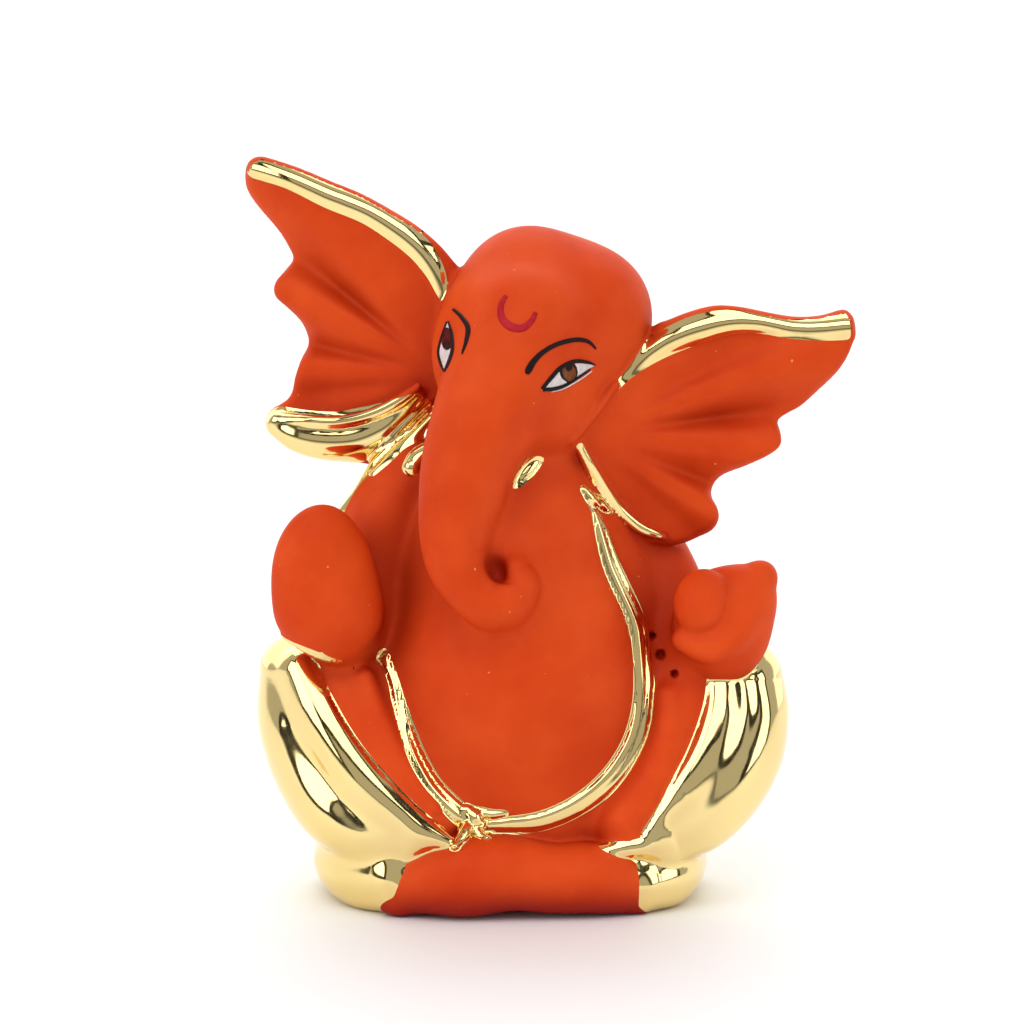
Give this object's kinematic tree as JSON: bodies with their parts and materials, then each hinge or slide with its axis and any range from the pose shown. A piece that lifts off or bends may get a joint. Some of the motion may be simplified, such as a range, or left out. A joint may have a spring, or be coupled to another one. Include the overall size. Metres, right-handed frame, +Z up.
{
  "type": "ganesha idol",
  "caption": "Seated elephant-headed devotional figurine with wide fluted ears, a curled trunk, one palm raised and one hand cupped, crossed feet, a cord stole and a flat padded base",
  "frame": {"origin": "centre of the flat underside, on the surface it stands on", "axes": "+Z up, the figure faces -Y, its left hand is on +X"},
  "size_m": [0.0731, 0.0375, 0.0883],
  "materials": {
    "orange_paint": "matte orange paint over gold-plated fired clay",
    "gold_plate": "mirror gold plating on fired clay",
    "tilak_paint": "hand-painted crimson",
    "eye_paint": "hand-painted white with a brown iris and a black line",
    "brow_paint": "hand-painted black line",
    "base_felt": "short-pile felt"
  },
  "bodies": {
    "root": {"body_front": "orange_paint", "body_back": "gold_plate", "head_front": "orange_paint", "head_back": "gold_plate", "trunk": "orange_paint", "tusk_left": "gold_plate", "tusk_right": "gold_plate", "ear_left_front": "orange_paint", "ear_left_back": "gold_plate", "ear_right_front": "orange_paint", "ear_right_back": "gold_plate", "ear_left_top_rim": "gold_plate", "ear_left_lower_rim": "gold_plate", "ear_right_top_rim": "gold_plate", "ear_right_lower_rim": "gold_plate", "arm_left": "orange_paint", "arm_right": "orange_paint", "hand_left": "orange_paint", "hand_right": "orange_paint", "leg_left": "gold_plate", "leg_right": "gold_plate", "shin_left": "gold_plate", "shin_right": "gold_plate", "foot_left": "orange_paint", "foot_right": "orange_paint", "stole_left": "gold_plate", "stole_right": "gold_plate", "stole_knot": "gold_plate", "shoulder_shawl": "gold_plate", "tilak": "tilak_paint", "eye_left": "eye_paint", "eye_right": "eye_paint", "brow_left": "brow_paint", "brow_right": "brow_paint", "base_pad": "base_felt"}
  },
  "joints": []
}
